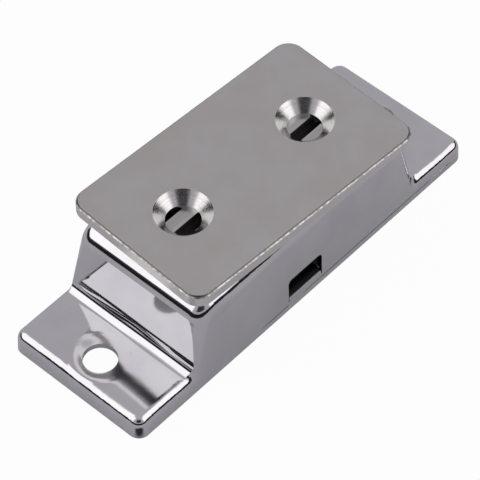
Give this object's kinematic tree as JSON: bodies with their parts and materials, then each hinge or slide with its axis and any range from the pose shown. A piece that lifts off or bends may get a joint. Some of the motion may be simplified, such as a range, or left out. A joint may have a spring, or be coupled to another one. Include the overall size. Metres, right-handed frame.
{
  "type": "magnetic catch",
  "caption": "Surface-mounted magnetic cabinet catch: a pressed chrome housing with a floating magnet pack, and a countersunk strike plate that the pole plates hold.",
  "frame": {"origin": "centre of the housing's base, on the surface it is screwed to", "axes": "+X along the housing from one screw flange to the other, +Z away from the mounting surface towards the strike plate, +Y across"},
  "size_m": [0.061, 0.0242, 0.0161],
  "materials": {
    "housing_chrome": "mirror-bright plating",
    "holder_plastic": "black, matt",
    "magnet_ferrite": "dark grey, pressed and fired",
    "pole_steel": "zinc plated, satin",
    "strike_nickel": "satin nickel plating"
  },
  "bodies": {
    "housing": {"housing": "housing_chrome"},
    "magnet_pack": {"magnet_holder": "holder_plastic", "magnet": "magnet_ferrite", "pole_plate_left": "pole_steel", "pole_plate_right": "pole_steel"},
    "strike": {"strike_plate": "strike_nickel"}
  },
  "joints": [
    {"name": "magnet_float", "type": "slide", "parent": "housing", "child": "magnet_pack", "axis": [0, 0, 1], "range_m": [0, 0.0005]},
    {"name": "strike_pull", "type": "slide", "parent": "magnet_pack", "child": "strike", "axis": [0, 0, 1], "range_m": [0, 0.02]}
  ]
}
